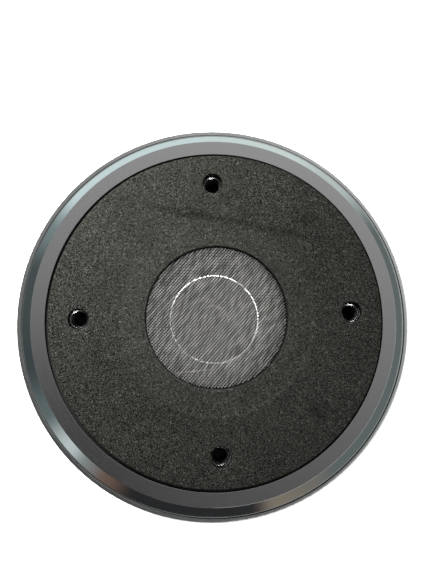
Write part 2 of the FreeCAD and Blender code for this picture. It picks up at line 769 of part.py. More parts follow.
def tube(route, radius):
    """A tube of straight runs joined by tangent arcs, each as large as its two runs allow."""
    edges = []
    here = route[0]
    for before, corner, after in zip(route, route[1:], route[2:]):
        run_in, run_out = corner - before, after - corner
        turn = run_in.getAngle(run_out)
        trim = 0.45 * min(run_in.Length, run_out.Length)
        bend_r = trim / math.tan(turn / 2)
        way_in, way_out = Vector(run_in).normalize(), Vector(run_out).normalize()
        start, end = corner - way_in * trim, corner + way_out * trim
        inward = (way_out - way_in).normalize()
        middle = corner + inward * (bend_r / math.cos(turn / 2) - bend_r)
        edges.append(Part.LineSegment(here, start).toShape())
        edges.append(Part.Arc(start, middle, end).toShape())
        here = end
    edges.append(Part.LineSegment(here, route[-1]).toShape())
    path = Part.Wire(edges)
    section = Part.Wire(Part.makeCircle(radius, route[0], route[1] - route[0]))
    return path.makePipeShell([section], True, False)


def lead_wire(side):
    """Lead from a contact tab to the inner end of its post, bowed so that it isn't strained."""
    x = side * TERMINAL_X
    y = PANEL_Y + POST_INNER + LEAD_R + CLEARANCE
    tab_back = CLAMP_BACK - STRIP_THICKNESS - 2 * CLEARANCE - TAB_THICKNESS
    route = [
        Vector(x, y, tab_back - CLEARANCE),
        Vector(x, y, tab_back - 3.4),
        Vector(x + side * 1.6, y + 3.2, TERMINAL_Z + 5.6),
        Vector(x, y, TERMINAL_Z + 1.6),
        Vector(x, y, TERMINAL_Z - 2.0),
    ]
    return tube(route, LEAD_R)


# ---- the assembly --------------------------------------------------------------------------------
def assembly():
    """Every sub-part, by the name of its node."""
    parts = {
        "front_gasket": front_gasket(),
        "throat_screen": throat_screen(),
        "front_plate": front_plate(),
        "pole_piece": pole_piece(),
        "copper_cap": copper_cap(),
        "phase_plug_body": phase_plug_body(),
        "phase_plug_outer_ring": phase_plug_outer_ring(),
        "phase_plug_inner_ring": phase_plug_inner_ring(),
        "phase_plug_bullet": phase_plug_bullet(),
        "magnet_ring": magnet_ring(),
        "top_plate": top_plate(),
        "magnet_cover": magnet_cover(),
        "diaphragm_dome": diaphragm_dome(),
        "coil_former": coil_former(),
        "voice_coil": voice_coil(),
        "diaphragm_surround": diaphragm_surround(),
        "diaphragm_frame_ring": diaphragm_frame_ring(),
        "diaphragm_clamp_ring": diaphragm_clamp_ring(),
        "diaphragm_screws": diaphragm_screws(),
        "alignment_pins": alignment_pins(),
        "lead_out_strips": lead_out_strips(),
        "contact_tabs": contact_tabs(),
        "rear_cover": rear_cover(),
        "cover_seal": cover_seal(),
        "damping_pad": damping_pad(),
        "cover_screws": cover_screws(),
        "rear_badge": rear_badge(),
        "terminal_nuts": terminal_nuts(),
    }
    for colour, side in (("red", 1), ("black", -1)):
        x = side * TERMINAL_X
        parts["terminal_base_" + colour] = terminal_base(x)
        parts["terminal_post_" + colour] = terminal_post(x)
        parts["terminal_spring_" + colour] = terminal_spring(x)
        parts["terminal_button_" + colour] = terminal_button(x)
        parts["lead_wire_" + colour] = lead_wire(side)
    return parts


os.makedirs("parts", exist_ok=True)
for name, shape in assembly().items():
    if not shape.isValid():
        raise ValueError(name + " is not a valid shape")
    shape.exportStep("parts/" + name + ".step")
    print(f"{name}: {len(shape.Solids)} solid(s), {shape.Volume / 1000:.2f} cm3")
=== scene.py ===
"""Looks of a bolt-on compression driver: materials for its metal and plastic parts, and the pieces that
need finer work than the frame holds: foam gasket, felt pad, woven throat screen, bolt threads and
countersinks, and the surround, strips and springs at the joints."""
import json
import math
import random

import bmesh
import bpy
from mathutils import Matrix, Vector, geometry, noise


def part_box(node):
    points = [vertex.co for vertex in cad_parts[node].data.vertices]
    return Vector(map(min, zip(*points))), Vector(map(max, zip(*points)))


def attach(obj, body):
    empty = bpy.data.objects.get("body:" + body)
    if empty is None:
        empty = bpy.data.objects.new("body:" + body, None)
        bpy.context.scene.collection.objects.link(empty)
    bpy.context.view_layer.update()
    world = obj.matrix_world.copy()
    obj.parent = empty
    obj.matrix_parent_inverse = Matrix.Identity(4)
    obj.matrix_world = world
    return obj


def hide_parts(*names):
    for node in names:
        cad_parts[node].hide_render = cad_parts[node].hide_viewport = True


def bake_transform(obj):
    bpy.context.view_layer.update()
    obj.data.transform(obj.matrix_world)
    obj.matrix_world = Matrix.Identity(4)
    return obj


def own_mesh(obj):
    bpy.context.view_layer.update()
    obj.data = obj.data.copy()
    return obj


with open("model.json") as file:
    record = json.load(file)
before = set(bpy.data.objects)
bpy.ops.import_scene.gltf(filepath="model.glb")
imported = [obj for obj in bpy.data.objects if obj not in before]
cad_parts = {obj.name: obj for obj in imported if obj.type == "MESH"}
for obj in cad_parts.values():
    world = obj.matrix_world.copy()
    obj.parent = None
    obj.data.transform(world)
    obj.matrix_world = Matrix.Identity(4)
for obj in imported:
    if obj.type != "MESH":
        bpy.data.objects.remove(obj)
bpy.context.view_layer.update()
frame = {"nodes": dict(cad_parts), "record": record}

MM = 0.001
MOTOR = "motor"
NODES = frame["nodes"]
MOUNTS = {m["name"]: m for m in frame["record"]["mounts"]}

# ---- sizes, from the frame -----------------------------------------------------------------------
GASKET_LOW, GASKET_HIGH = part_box("front_gasket")
SCREEN_LOW, SCREEN_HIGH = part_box("throat_screen")
PAD_LOW, PAD_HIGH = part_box("damping_pad")
PLATE_BACK_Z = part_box("front_plate")[0].z
REAR_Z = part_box("rear_cover")[0].z
BOLT_CIRCLE_R = MOUNTS["horn_bolts"]["dims"]["pcd_mm"] / 2 * MM
BOLT_R = MOUNTS["horn_bolts"]["dims"]["hole_r_mm"] * MM

# ---- plate and sleeve ----------------------------------------------------------------------------
BEVEL_R = 68.4 * MM  # where the plate's flat rim ends
PAINTED_SHADE_Z = (-5 * MM, 0.7 * MM)  # the plate is painted near black between these heights: painted shade
PAINTED_SHADE_OUTER_R = (60 * MM, 63.4 * MM)  # at the gasket's outer edge
PAINTED_SHADE_INNER_R = 30 * MM  # and at its bore
PAINTED_SHADE_BORE_R = 3.9 * MM  # the painted shade takes in the walls of the bolt holes
SLEEVE_BORE_R = 74.1 * MM
# towards this side the cover is painted lighter and its painted shadow line is widest
LIGHT_SIDE_WAY = (0.94, -0.34, 0)

# ---- camera --------------------------------------------------------------------------------------
CAMERA_SIDE = 0.1 * MM
CAMERA_DISTANCE = 177.6 * MM  # from the gasket's front
CAMERA_RISE = 10.0 * MM
CAMERA_TILT = math.radians(7.4)
CAMERA_TURN = math.radians(-2.4)
CAMERA_ROLL = math.radians(-1.2)
CAMERA_LENS_MM = 29.95
SENSOR_MM = 36.0

# ---- foam gasket ---------------------------------------------------------------------------------
GASKET_BORE_R = 26.55 * MM
GASKET_BOLT_R = 3.75 * MM
GASKET_TWIST = math.radians(0.2)  # it was laid a little askew
GASKET_SHIFT = (0.3 * MM, 0.0)
BORE_SHIFT = (0.45 * MM, -0.4 * MM)
GASKET_EDGE_R = 0.45 * MM
GASKET_GAP = 0.05 * MM  # to the recess's wall
GASKET_OUTER_POINTS = 288
GASKET_BORE_POINTS = 144
GASKET_BOLT_POINTS = 40
GASKET_GRID = 1.6 * MM
GASKET_WAVE = 0.07 * MM
FOAM_DARK = (0.0014, 0.0014, 0.0012)
FOAM_PALE = (0.032, 0.0325, 0.028)
FLANGE_MARK_R = 36.6 * MM  # edge of the flange that was pressed on the foam
DENT_ANGLE = math.radians(12.5)
DENT_OFFSET = 36.3 * MM
DENT_SHADE = 0.42
DIMPLE_SHADE = (0.22, 0.12, 0.18, 0.34)
EDGE_HIGHLIGHT = 0.5
EDGE_ROLL_STEPS = 5
SHEET_LIFT = 0.02 * MM  # clear of what a soft sheet lies on

# ---- felt pad ------------------------------------------------------------------------------------
PAD_GAP = 0.1 * MM
PAD_EDGE_R = 1.2 * MM
PAD_GRID = 2.4 * MM
PAD_WAVE = 0.3 * MM
PAD_DROP = 0.2 * MM  # of its middle height below the CAD pad's top
PAD_POINTS = 144

# ---- woven screen --------------------------------------------------------------------------------
WARP_PITCH = 0.92 * MM
WEFT_PITCH = 0.8 * MM
WIRE_R = 0.138 * MM
WARP_ANGLE = math.radians(46)
WEFT_ANGLE = math.radians(140)
WIRE_SIDES = 6
STEPS_PER_CROSSING = 3
SCREEN_GAP = 0.3 * MM
WANDER = 0.1 * MM
WANDER_SIZE = 9 * MM
WANDER_SEED = 5  # without it noise_vector differs from run to run
CREASE_Y = -20.3 * MM
CREASE_X = -6 * MM
CREASE_SLOPE = 0.06
CREASE_HALF_LENGTH = 13 * MM
CREASE_HALF_WIDTH = 0.35 * MM
CREASE_RISE = 0.16 * MM
STREAK_ANGLE = math.radians(60)
STRAND_R = 0.13 * MM
STRAND_RISE = 0.25 * MM
STRAND_ROUTE_MM = ((-15.6, -20.9), (-11, -20.3), (-6.5, -20.15), (-2.2, -19.7))

# ---- surround wedges, strips and springs ---------------------------------------------------------
WEDGE_HALF = math.radians(15)
SPRING_WIRE_R = 0.35 * MM
SPRING_TURNS = 5
SPRING_STEPS = 28
SPRING_SIDES = 10
SPRING_DEAD = 0.16  # share of the turns at each end that lie close

# ---- bolt threads --------------------------------------------------------------------------------
THREAD_PITCH = 1.0 * MM
THREAD_DEPTH = 0.5 * MM
THREAD_STEPS = 32
THREAD_ROOT_R = BOLT_R + 0.01 * MM
THREAD_CREST_R = BOLT_R - THREAD_DEPTH
THREAD_BACK_GAP = 0.6 * MM
THREAD_TOP_Z = -0.7 * MM

# ---- bolt countersinks ---------------------------------------------------------------------------
SINK_INNER_R = BOLT_R - 0.02 * MM
SINK_OUTER_R = BOLT_R + 0.43 * MM
SINK_TOP_Z = -0.01 * MM
SINK_BOTTOM_Z = -0.47 * MM
SINK_POINTS = 48

# ---- floor ---------------------------------------------------------------------------------------
FLOOR_HALF = 3.0
FLOOR_GAP = 0.2 * MM


class Look:
    """A new material with one Principled shader, and short calls for the nodes that feed it."""

    def __init__(self, name, color, roughness, metallic=0.0, **sockets):
        self.material = bpy.data.materials.new(name)
        self.material.use_nodes = True
        self.tree = self.material.node_tree
        self.shader = self.tree.nodes["Principled BSDF"]
        self.feed(self.shader, "Base Color", color if not isinstance(color, tuple) else (*color, 1.0))
        self.feed(self.shader, "Roughness", roughness)
        self.feed(self.shader, "Metallic", metallic)
        for socket, value in sockets.items():
            self.feed(self.shader, socket.replace("_", " "), value)

    def feed(self, node, socket, value):
        """Sets an input, or links it where the value is another node's output."""
        target = node.inputs[socket]
        if isinstance(value, bpy.types.NodeSocket):
            self.tree.links.new(value, target)
        else:
            target.default_value = value

    def make(self, kind, inputs, output=0, **settings):
        """A new node with those inputs and settings; returns one of its outputs."""
        node = self.tree.nodes.new("ShaderNode" + kind)
        for name, value in settings.items():
            setattr(node, name, value)
        for socket, value in inputs.items():
            self.feed(node, socket, value)
        return node.outputs[output]

    def place(self):
        """The point on the object, in metres."""
        return self.make("TexCoord", {}, "Object")

    def math(self, operation, a, b=0.0):
        return self.make("Math", {0: a, 1: b}, operation=operation)

    def noise(self, size, vector=None, detail=3.0, roughness=0.55):
        """Soft noise from 0 to 1, whose features are about that large."""
        inputs = {"Scale": 1.0 / size, "Detail": detail, "Roughness": roughness}
        inputs["Vector"] = vector if vector is not None else self.place()
        return self.make("TexNoise", inputs)

    def cells(self, size):
        """Distance to the nearest of scattered points that are about that far apart, in units of it."""
        return self.make("TexVoronoi", {"Vector": self.place(), "Scale": 1.0 / size})

    def random_cells(self, size):
        """A random value from 0 to 1 for each of many cells, which are about that large."""
        color = self.make("TexVoronoi", {"Vector": self.place(), "Scale": 1.0 / size}, "Color")
        return self.make("SeparateColor", {0: color})

    def split(self, vector):
        """The X, Y and Z of a vector."""
        parts = self.tree.nodes.new("ShaderNodeSeparateXYZ")
        self.feed(parts, 0, vector)
        return parts.outputs

    def hypotenuse(self, a, b):
        squares = self.math("ADD", self.math("MULTIPLY", a, a), self.math("MULTIPLY", b, b))
        return self.math("SQRT", squares)

    def facing_up(self):
        """1 where the surface faces +Z, 0 where it is upright."""
        return self.split(self.make("TexCoord", {}, "Normal"))[2]

    def streaks(self, angle, width, length):
        """Noise drawn out at an angle in the XY plane."""
        way = (math.cos(angle), math.sin(angle), 0)
        inputs = {
            "X": self.math("MULTIPLY", self.along((-way[1], way[0], 0)), 1 / width),
            "Y": self.math("MULTIPLY", self.along(way), 1 / length),
        }
        return self.noise(1.0, self.make("CombineXYZ", inputs), detail=1.0)

    def along(self, direction):
        """How far the point lies along a direction from the origin."""
        return self.make("VectorMath", {0: self.place(), 1: direction}, 1, operation="DOT_PRODUCT")

    def band(self, value, middle, half_width):
        """1 where a value is at the middle, falling to 0 at that far on either side."""
        off = self.math("ABSOLUTE", self.math("SUBTRACT", value, middle))
        return self.span(off, half_width, 0.0)

    def scaled(self, color, factor):
        """A colour times a number."""
        return self.make("VectorMath", {0: color, "Scale": factor}, operation="SCALE")

    def mixed(self, factor, first, second):
        """Mixes two numbers."""
        return self.make("Mix", {0: factor, 2: first, 3: second})

    def span(self, value, low, high, to_low=0.0, to_high=1.0):
        """Maps low..high to to_low..to_high, and no further."""
        inputs = {"Value": value, "From Min": low, "From Max": high, "To Min": to_low, "To Max": to_high}
        return self.make("MapRange", inputs)

    def blend(self, factor, first, second):
        """Mixes two colours."""
        a = (*first, 1.0) if isinstance(first, tuple) else first
        b = (*second, 1.0) if isinstance(second, tuple) else second
        return self.make("Mix", {0: factor, 6: a, 7: b}, 2, data_type="RGBA")

    def polar(self):
        """The point's distance from the Z axis, its Z, and its angle round the axis in radians."""
        x, y, z = self.split(self.place())
        return self.hypotenuse(x, y), z, self.math("ARCTAN2", y, x)

    def bolt_distance(self):
        """Distance from the axis of the nearest of the four bolt holes."""
        x, y, _ = self.split(self.place())
        x, y = self.math("ABSOLUTE", x), self.math("ABSOLUTE", y)
        out = self.math("SUBTRACT", self.math("MAXIMUM", x, y), BOLT_CIRCLE_R)
        return self.hypotenuse(out, self.math("MINIMUM", x, y))

    def turned(self, pitch, streak=0.004):
        """Noise drawn out round the Z axis, as a lathe leaves it."""
        radius, z, angle = self.polar()
        inputs = {"X": radius, "Y": z, "Z": self.math("MULTIPLY", angle, streak)}
        return self.noise(pitch, self.make("CombineXYZ", inputs), detail=2.0)

    def bump(self, height, depth, strength=1.0):
        """Bumps the surface by a height from 0 to 1, times a depth in metres."""
        inputs = {"Height": height, "Distance": depth, "Strength": strength}
        if self.shader.inputs["Normal"].is_linked:
            inputs["Normal"] = self.shader.inputs["Normal"].links[0].from_socket
        self.feed(self.shader, "Normal", self.make("Bump", inputs))


# ---- materials -----------------------------------------------------------------------------------
def foam_material():
    """Neoprene foam, closed-cell: fine crushed cells, a horn flange's pressed marks, painted glints,
    highlight and shade.
    """
    look = Look("foam", (0.04, 0.04, 0.036), 0.75, Specular_IOR_Level=0.1)
    radius, _, _ = look.polar()
    tone = look.random_cells(0.21 * MM)
    lit = look.math("POWER", tone, 2.1)
    # painted glints: rare bright specks in the foam's base colour
    painted_glint = look.span(look.random_cells(0.4 * MM), 0.98, 0.985, 0.0, 2.5)
    lit = look.math("ADD", lit, painted_glint)

    # tone: mottling and a lighter zone inside the flange's edge, with a painted highlight along that edge
    # towards the lower right
    tone_and_shade = look.span(look.noise(15 * MM), 0.3, 0.7, 0.9, 1.1)
    inside = look.span(radius, FLANGE_MARK_R - 1.5 * MM, FLANGE_MARK_R + 0.5 * MM, 1.2, 1.0)
    tone_and_shade = look.math("MULTIPLY", tone_and_shade, inside)
    lower_right = look.span(look.along((0.6, -0.8, 0)), 8 * MM, 26 * MM)
    edge = look.math("MULTIPLY", look.band(radius, FLANGE_MARK_R, 1.3 * MM), lower_right)
    tone_and_shade = look.math("ADD", tone_and_shade, look.math("MULTIPLY", edge, EDGE_HIGHLIGHT))

    # painted shade of a long shallow dent across the upper half
    dent_way = Vector((math.sin(DENT_ANGLE), math.cos(DENT_ANGLE), 0))
    wander = look.span(look.noise(12 * MM), 0.3, 0.7, -0.6 * MM, 0.6 * MM)
    across = look.math("ADD", look.along(tuple(dent_way)), wander)
    painted_dent_shade = look.band(across, DENT_OFFSET, 2.2 * MM)
    length = look.span(look.band(look.along((1, 0, 0)), 6 * MM, 44 * MM), 0.0, 0.5)
    painted_dent_shade = look.math("MULTIPLY", look.math("MULTIPLY", painted_dent_shade, length), DENT_SHADE)
    tone_and_shade = look.math("SUBTRACT", tone_and_shade, painted_dent_shade)

    # painted shade of faint dimples over the four spare holes between the bolts
    for quarter in range(4):
        angle = (quarter + 0.5) * math.pi / 2
        centre = (BOLT_CIRCLE_R * math.cos(angle), BOLT_CIRCLE_R * math.sin(angle), GASKET_HIGH.z)
        away = look.make("VectorMath", {0: look.place(), 1: centre}, 1, operation="DISTANCE")
        painted_dimple_shade = look.span(away, 1.5 * MM, 5.5 * MM, DIMPLE_SHADE[quarter], 0.0)
        tone_and_shade = look.math("SUBTRACT", tone_and_shade, painted_dimple_shade)

    # the cut walls are darker: partly their open cells, partly painted shade for the narrow gaps round the
    # gasket's edges
    tone_and_shade = look.math("MULTIPLY", tone_and_shade, look.span(look.facing_up(), 0.1, 0.9, 0.35, 1.0))

    look.feed(look.shader, "Base Color", look.scaled(look.blend(lit, FOAM_DARK, FOAM_PALE), tone_and_shade))
    look.bump(tone, 0.15 * MM, 0.7)
    return look.material


def wire_material(name, dull_and_shaded, bright):
    """Drawn stainless wire, dulled in slanting streaks."""
    look = Look(name, bright, 0.3, 1.0)
    streak = look.span(look.streaks(STREAK_ANGLE, 1.1 * MM, 5 * MM), 0.35, 0.65)
    look.feed(look.shader, "Base Color", look.blend(streak, dull_and_shaded, bright))
    look.feed(look.shader, "Roughness", look.span(streak, 0.0, 1.0, 0.42, 0.34))
    return look.material


def plate_material():
    """Plated steel: a finely ground rim, a polished bevel outside it, and painted shade round the gasket
    and in the bolt holes.
    """
    look = Look("plated_steel", (0.6, 0.6, 0.6), 0.3, 1.0)
    radius, z, _ = look.polar()
    bevel = look.span(radius, BEVEL_R, BEVEL_R + 0.05 * MM)
    turning = look.turned(0.35 * MM)
    stain = look.noise(9 * MM)
    satin = look.span(turning, 0.3, 0.7, 0.24, 0.3)
    polished = look.span(stain, 0.3, 0.7, 0.09, 0.13)
    roughness = look.mixed(bevel, satin, polished)
    metal = look.blend(bevel, (0.57, 0.57, 0.575), (0.6, 0.625, 0.63))

    # painted shade, near black, below the flat rim's face: under the gasket's two edges, and in the bolt
    # holes
    edge = 0.1 * MM
    back, front = PAINTED_SHADE_Z
    below = look.span(z, front + edge / 2, front)
    near_front = look.math("MULTIPLY", below, look.span(z, back, back + edge))
    first, last = PAINTED_SHADE_OUTER_R
    outer = look.span(radius, first, first + edge)
    outer = look.math("MULTIPLY", outer, look.span(radius, last, last - edge))
    inner = look.span(radius, PAINTED_SHADE_INNER_R + 1 * MM, PAINTED_SHADE_INNER_R)
    painted_recess_shade = look.math("MULTIPLY", near_front, look.math("MAXIMUM", outer, inner))
    bore = look.math("MULTIPLY", below, look.span(look.bolt_distance(), PAINTED_SHADE_BORE_R + edge, PAINTED_SHADE_BORE_R))
    dark = look.math("MAXIMUM", painted_recess_shade, bore)
    look.feed(look.shader, "Base Color", look.blend(dark, metal, (0.008, 0.008, 0.008)))
    look.feed(look.shader, "Roughness", look.mixed(dark, roughness, 0.7))
    look.feed(look.shader, "Metallic", look.math("SUBTRACT", 1.0, dark))
    look.bump(turning, 0.004 * MM)
    return look.material


def thread_material():
    """Cut threads, glossy, painted near black for the shade deep in the bolt holes."""
    look = Look("thread_painted_shade", (0.012, 0.012, 0.012), 0.22, 0.0, Specular_IOR_Level=0.8)
    look.bump(look.noise(0.4 * MM), 0.02 * MM)
    return look.material


def steel_material():
    """Turned steel with a dark phosphate coat."""
    look = Look("machined_steel", (0.06, 0.06, 0.06), 0.5, 0.7)
    turning = look.turned(0.3 * MM)
    look.feed(look.shader, "Base Color", look.blend(turning, (0.035, 0.035, 0.035), (0.09, 0.09, 0.088)))
    look.bump(turning, 0.006 * MM)
    return look.material


def cover_material():
    """Turned aluminium with a clear lathe grain."""
    look = Look("cover_aluminium", (0.7, 0.71, 0.71), 0.28, 1.0)
    turning = look.turned(0.28 * MM)
    radius, _, _ = look.polar()
    # painted light: the metal is painted lighter towards one side, with some random tone, and the painted
    # shadow in the space round the plate is widest there
    across = look.along(LIGHT_SIDE_WAY)
    painted_light_and_tone = look.span(across, -70 * MM, 70 * MM)
    painted_light_and_tone = look.math("ADD", painted_light_and_tone, look.span(look.noise(6 * MM), 0.3, 0.7, -0.12, 0.12))
    metal = look.blend(painted_light_and_tone, (0.52, 0.53, 0.525), (0.93, 0.97, 0.94))
    painted_shadow_width = look.span(across, -10 * MM, 50 * MM, 0.03 * MM, 0.3 * MM)
    off = look.math("SUBTRACT", look.math("SUBTRACT", radius, SLEEVE_BORE_R), painted_shadow_width)
    painted_shadow_line = look.span(off, 0.03 * MM, 0.0)
    look.feed(look.shader, "Base Color", look.blend(painted_shadow_line, metal, (0.01, 0.01, 0.01)))
    look.feed(look.shader, "Metallic", look.math("SUBTRACT", 1.0, painted_shadow_line))
    look.feed(look.shader, "Roughness", look.span(turning, 0.3, 0.7, 0.24, 0.4))
    look.bump(turning, 0.01 * MM)
    return look.material


def plug_material():
    """Bright machined metal, whose collar shows behind the screen."""
    look = Look("plug_metal", (0.9, 0.9, 0.89), 0.2, 1.0)
    look.bump(look.turned(0.25 * MM), 0.004 * MM)
    return look.material


def copper_material():
    """Bare copper, a little stained."""
    look = Look("copper", (0.86, 0.45, 0.29), 0.3, 1.0)
    stain = look.noise(5 * MM)
    look.feed(look.shader, "Base Color", look.blend(stain, (0.62, 0.27, 0.17), (0.92, 0.52, 0.35)))
    look.bump(look.turned(0.2 * MM), 0.004 * MM)
    return look.material


def brass_material(name, color):
    """Turned brass, bare or plated."""
    look = Look(name, color, 0.28, 1.0)
    look.feed(look.shader, "Roughness", look.span(look.noise(2 * MM), 0.3, 0.7, 0.2, 0.4))
    look.bump(look.noise(0.3 * MM), 0.01 * MM)
    return look.material


def ferrite_material():
    """Sintered ferrite: dark, with chipped grains."""
    look = Look("ferrite", (0.05, 0.05, 0.055), 0.6)
    look.bump(look.noise(0.8 * MM, detail=5.0), 0.1 * MM)
    look.bump(look.cells(4 * MM), 0.08 * MM)
    return look.material


def titanium_material():
    """Thin pressed titanium, not quite smooth."""
    look = Look("titanium", (0.52, 0.5, 0.47), 0.3, 1.0)
    look.bump(look.noise(7 * MM), 0.05 * MM)
    return look.material


def film_material():
    """Amber polyimide film."""
    look = Look("amber_film", (0.6, 0.3, 0.07), 0.22, Coat_Weight=0.3)
    resin = look.blend(look.noise(3 * MM), (0.5, 0.22, 0.04), (0.72, 0.4, 0.12))
    look.feed(look.shader, "Base Color", resin)
    return look.material


def winding_material():
    """Edge-wound flat wire: fine turns along Z, under enamel."""
    look = Look("coil_wire", (0.75, 0.45, 0.3), 0.3, 1.0)
    _, z, _ = look.polar()
    turn = look.math("FRACT", look.math("MULTIPLY", z, 1 / (0.12 * MM)))
    look.feed(look.shader, "Base Color", look.blend(turn, (0.45, 0.24, 0.15), (0.85, 0.58, 0.42)))
    look.bump(turn, 0.02 * MM)
    return look.material


def cast_material():
    """Black powder-coated casting, with the coat's fine orange peel."""
    look = Look("cast_cover", (0.025, 0.025, 0.027), 0.5, Specular_IOR_Level=0.5)
    peel = look.noise(0.7 * MM, detail=2.0)
    look.feed(look.shader, "Roughness", look.span(look.noise(12 * MM), 0.3, 0.7, 0.42, 0.58))
    look.bump(peel, 0.08 * MM)
    return look.material


def plastic_material(name, color, roughness=0.35, grain=0.4 * MM):
    """Moulded plastic or rubber with a fine grain."""
    look = Look(name, color, roughness, Specular_IOR_Level=0.5)
    spread = look.noise(5 * MM)
    look.feed(look.shader, "Roughness", look.span(spread, 0.3, 0.7, roughness - 0.06, roughness + 0.08))
    look.bump(look.noise(grain, detail=2.0), 0.015 * MM)
    return look.material


def oxide_material():
    """Black-oxide screws, worn in small patches."""
    look = Look("black_screws", (0.05, 0.05, 0.052), 0.38, 0.85)
    wear = look.span(look.noise(1.2 * MM), 0.55, 0.8)
    look.feed(look.shader, "Base Color", look.blend(wear, (0.035, 0.035, 0.038), (0.16, 0.155, 0.15)))
    return look.material


def felt_material():
    """Grey pressed felt."""
    look = Look("felt", (0.36, 0.35, 0.32), 0.95, Sheen_Weight=0.3)
    fibre = look.noise(0.6 * MM, detail=6.0, roughness=0.75)
    look.feed(look.shader, "Base Color", look.blend(fibre, (0.22, 0.21, 0.19), (0.5, 0.48, 0.45)))
    look.bump(fibre, 0.3 * MM)
    return look.material


def badge_material():
    """Spun aluminium, left blank."""
    look = Look("badge_aluminium", (0.76, 0.77, 0.78), 0.24, 1.0)
    spun = look.turned(0.18 * MM)
    look.feed(look.shader, "Roughness", look.span(spun, 0.3, 0.7, 0.18, 0.36))
    look.bump(spun, 0.006 * MM)
    return look.material


def dress(material, *names):
    """Gives CAD nodes a material."""
    for name in names:
        for slot in NODES[name].material_slots:
            slot.material = material


def new_piece(name, verts, faces, material, smooth=True):
    """A mesh piece that rides on the motor."""
    mesh = bpy.data.meshes.new(name)
    mesh.from_pydata(verts, [], faces)
    mesh.materials.append(material)
    if smooth:
        mesh.shade_smooth()
    else:
        mesh.shade_flat()
    piece = bpy.data.objects.new(name, mesh)
    bpy.context.scene.collection.objects.link(piece)
    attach(piece, MOTOR)
    return piece


def tube_faces(start, rings, sides):
    """Faces of a closed tube, through rings of that many points each, the first of which is at start."""
    faces = []
    for k in range(rings - 1):
        here = start + k * sides
        for i in range(sides):
            j = (i + 1) % sides
            faces.append((here + i, here + j, here + sides + j, here + sides + i))
    faces.append(tuple(start + i for i in reversed(range(sides))))
    faces.append(tuple(start + (rings - 1) * sides + i for i in range(sides)))
    return faces


# ---- foam gasket and felt pad --------------------------------------------------------------------
def circle(centre, radius, count):
    """Points round a circle."""
    angles = [2 * math.pi * i / count for i in range(count)]
    return [centre + radius * Vector((math.cos(a), math.sin(a))) for a in angles]


class Rim:
    """A round edge of a sheet. side is 1 where the sheet lies inside the circle, -1 where outside."""

    def __init__(self, centre, radius, side, count):
        self.centre = centre
        self.radius = radius
        self.side = side
        self.count = count

    def at(self, inset):
        """The circle moved into the sheet by a distance."""
        return circle(self.centre, self.radius - self.side * inset, self.count)

    def holds(self, point, margin):
        """Whether a point lies in the sheet, at least a margin from this edge."""
        return self.side * (self.radius - (point - self.centre).length) > margin


def flat_triangles(rims, inset, grid):
    """Points and triangles that fill the sheet inside its inset rims. The rims' points come first."""
    rng = random.Random(7)
    points = []
    edges = []
    for rim in rims:
        start = len(points)
        points += rim.at(inset)
        edges += [(start + i, start + (i + 1) % rim.count) for i in range(rim.count)]
    reach = max(rim.radius for rim in rims)
    steps = int(reach / grid) + 1
    for i in range(-steps, steps + 1):
        for j in range(-steps, steps + 1):
            shake = Vector((rng.uniform(-0.25, 0.25), rng.uniform(-0.25, 0.25)))
            point = (Vector((i + 0.5 * (j % 2), j * 0.87)) + shake) * grid
            if all(rim.holds(point, inset + 0.5 * grid) for rim in rims):
                points.append(point)
    coords, _, faces, *_ = geometry.delaunay_2d_cdt(points, edges, [], 0, 1e-7)
    kept = []
    for face in faces:
        middle = sum((coords[i] for i in face), Vector((0, 0))) / 3
        if all(rim.holds(middle, inset - 0.01 * MM) for rim in rims):
            kept.append(tuple(face))
    return coords, kept


def soft_sheet(name, rims, low, high, edge, grid, wave, material):
    """A soft sheet with rounded upper edges and a slightly uneven face, closed underneath."""
    coords, faces = flat_triangles(rims, edge, grid)

    def lifted(point, height):
        sample = Vector((point.x, point.y, 0)) / (11 * MM)
        return height + wave * noise.noise(sample)

    verts = [(p.x, p.y, lifted(p, high)) for p in coords]
    loops = []
    start = 0
    for rim in rims:
        loops.append([list(range(start, start + rim.count))])
        start += rim.count
    for rim, rows in zip(rims, loops):
        for k in range(1, EDGE_ROLL_STEPS + 1):
            turn = math.pi / 2 * k / EDGE_ROLL_STEPS
            ring = rim.at(edge * (1 - math.sin(turn)))
            base = len(verts)
            verts += [(p.x, p.y, lifted(p, high - edge * (1 - math.cos(turn)))) for p in ring]
            rows.append(list(range(base, base + rim.count)))
        base = len(verts)
        verts += [(p.x, p.y, low) for p in rim.at(0.0)]
        rows.append(list(range(base, base + rim.count)))
        for upper, lower in zip(rows, rows[1:]):
            for i in range(rim.count):
                j = (i + 1) % rim.count
                quad = (upper[i], lower[i], lower[j], upper[j])
                faces.append(quad if rim.side > 0 else quad[::-1])
    bottom = [rows[-1] for rows in loops]
    faces += bottom_faces(verts, rims, bottom, low)
    return new_piece(name, verts, faces, material)


def bottom_faces(verts, rims, bottom, low):
    """Closes the underside between the rims' lowest rows."""
    flat = [Vector(verts[i][:2]) for row in bottom for i in row]
    index = [i for row in bottom for i in row]
    edges = []
    start = 0
    for rim in rims:
        edges += [(start + i, start + (i + 1) % rim.count) for i in range(rim.count)]
        start += rim.count
    _, _, faces, *_ = geometry.delaunay_2d_cdt(flat, edges, [], 0, 1e-7)
    closed = []
    for face in faces:
        middle = sum((flat[i] for i in face), Vector((0, 0))) / 3
        if all(rim.holds(middle, -0.01 * MM) for rim in rims):
            closed.append(tuple(index[i] for i in reversed(face)))
    return closed


